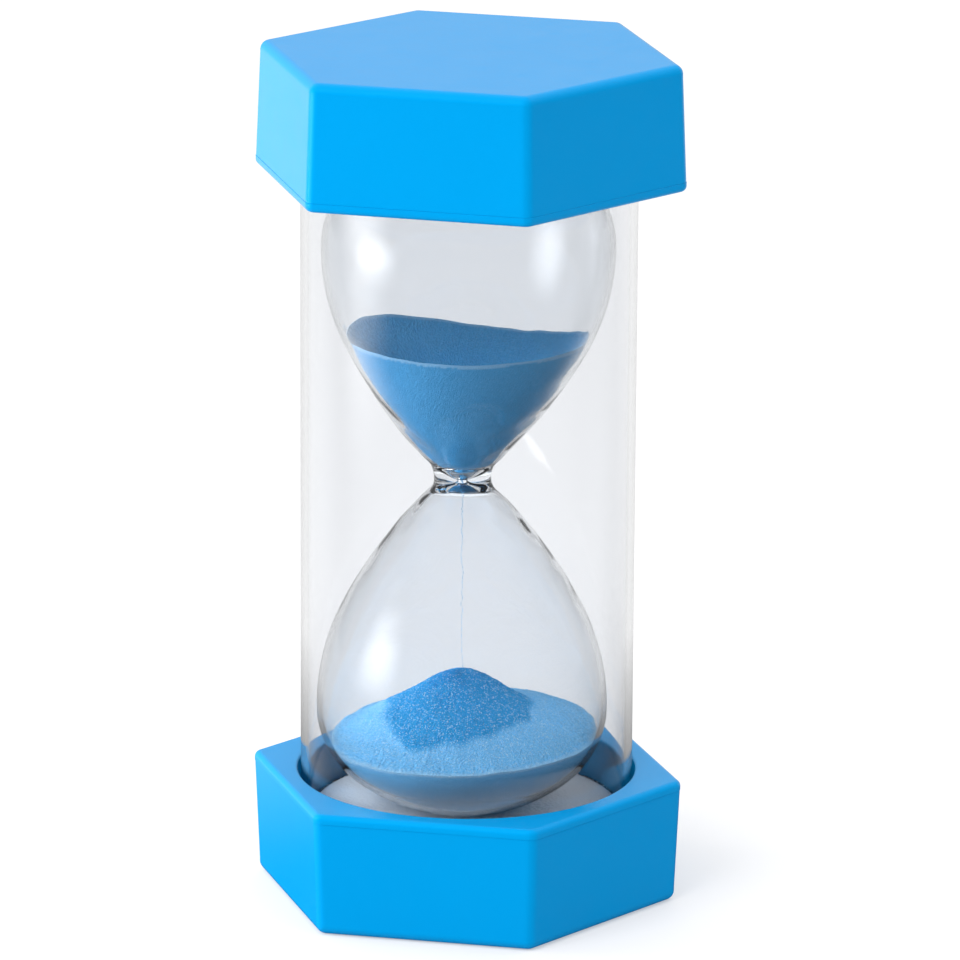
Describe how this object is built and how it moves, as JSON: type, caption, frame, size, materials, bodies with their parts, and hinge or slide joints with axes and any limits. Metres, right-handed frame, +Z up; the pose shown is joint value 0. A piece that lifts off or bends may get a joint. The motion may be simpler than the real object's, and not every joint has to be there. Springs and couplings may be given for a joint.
{
  "type": "hourglass",
  "caption": "Sand timer: glass double bulb with blue sand, inside a clear tube held between two hexagonal plastic caps.",
  "frame": {"origin": "centre of the base, on the surface that the hourglass stands on", "axes": "+Z up along the tube; +X through a corner of the lower cap; -Y out of the lower cap's front flat"},
  "size_m": [0.0816, 0.073, 0.16],
  "materials": {
    "cap_plastic": "moulded, satin gloss, bright blue",
    "clear_plastic": "clear and polished",
    "bulb_glass": "clear, flame polished",
    "blue_sand": "fine dyed grains with a faint glitter",
    "foam": "matt closed-cell foam",
    "stopper_rubber": "matt",
    "clear_glue": "clear, set"
  },
  "bodies": {
    "root": {"lower_cap_shell": "cap_plastic", "lower_cap_deck": "cap_plastic", "lower_pad": "foam", "lower_glue_ring": "clear_glue", "outer_tube": "clear_plastic", "glass_bulb": "bulb_glass", "filling_stopper": "stopper_rubber", "upper_sand": "blue_sand", "sand_stream": "blue_sand", "lower_sand": "blue_sand", "upper_glue_ring": "clear_glue", "upper_pad": "foam", "upper_cap_deck": "cap_plastic", "upper_cap_shell": "cap_plastic"}
  },
  "joints": []
}
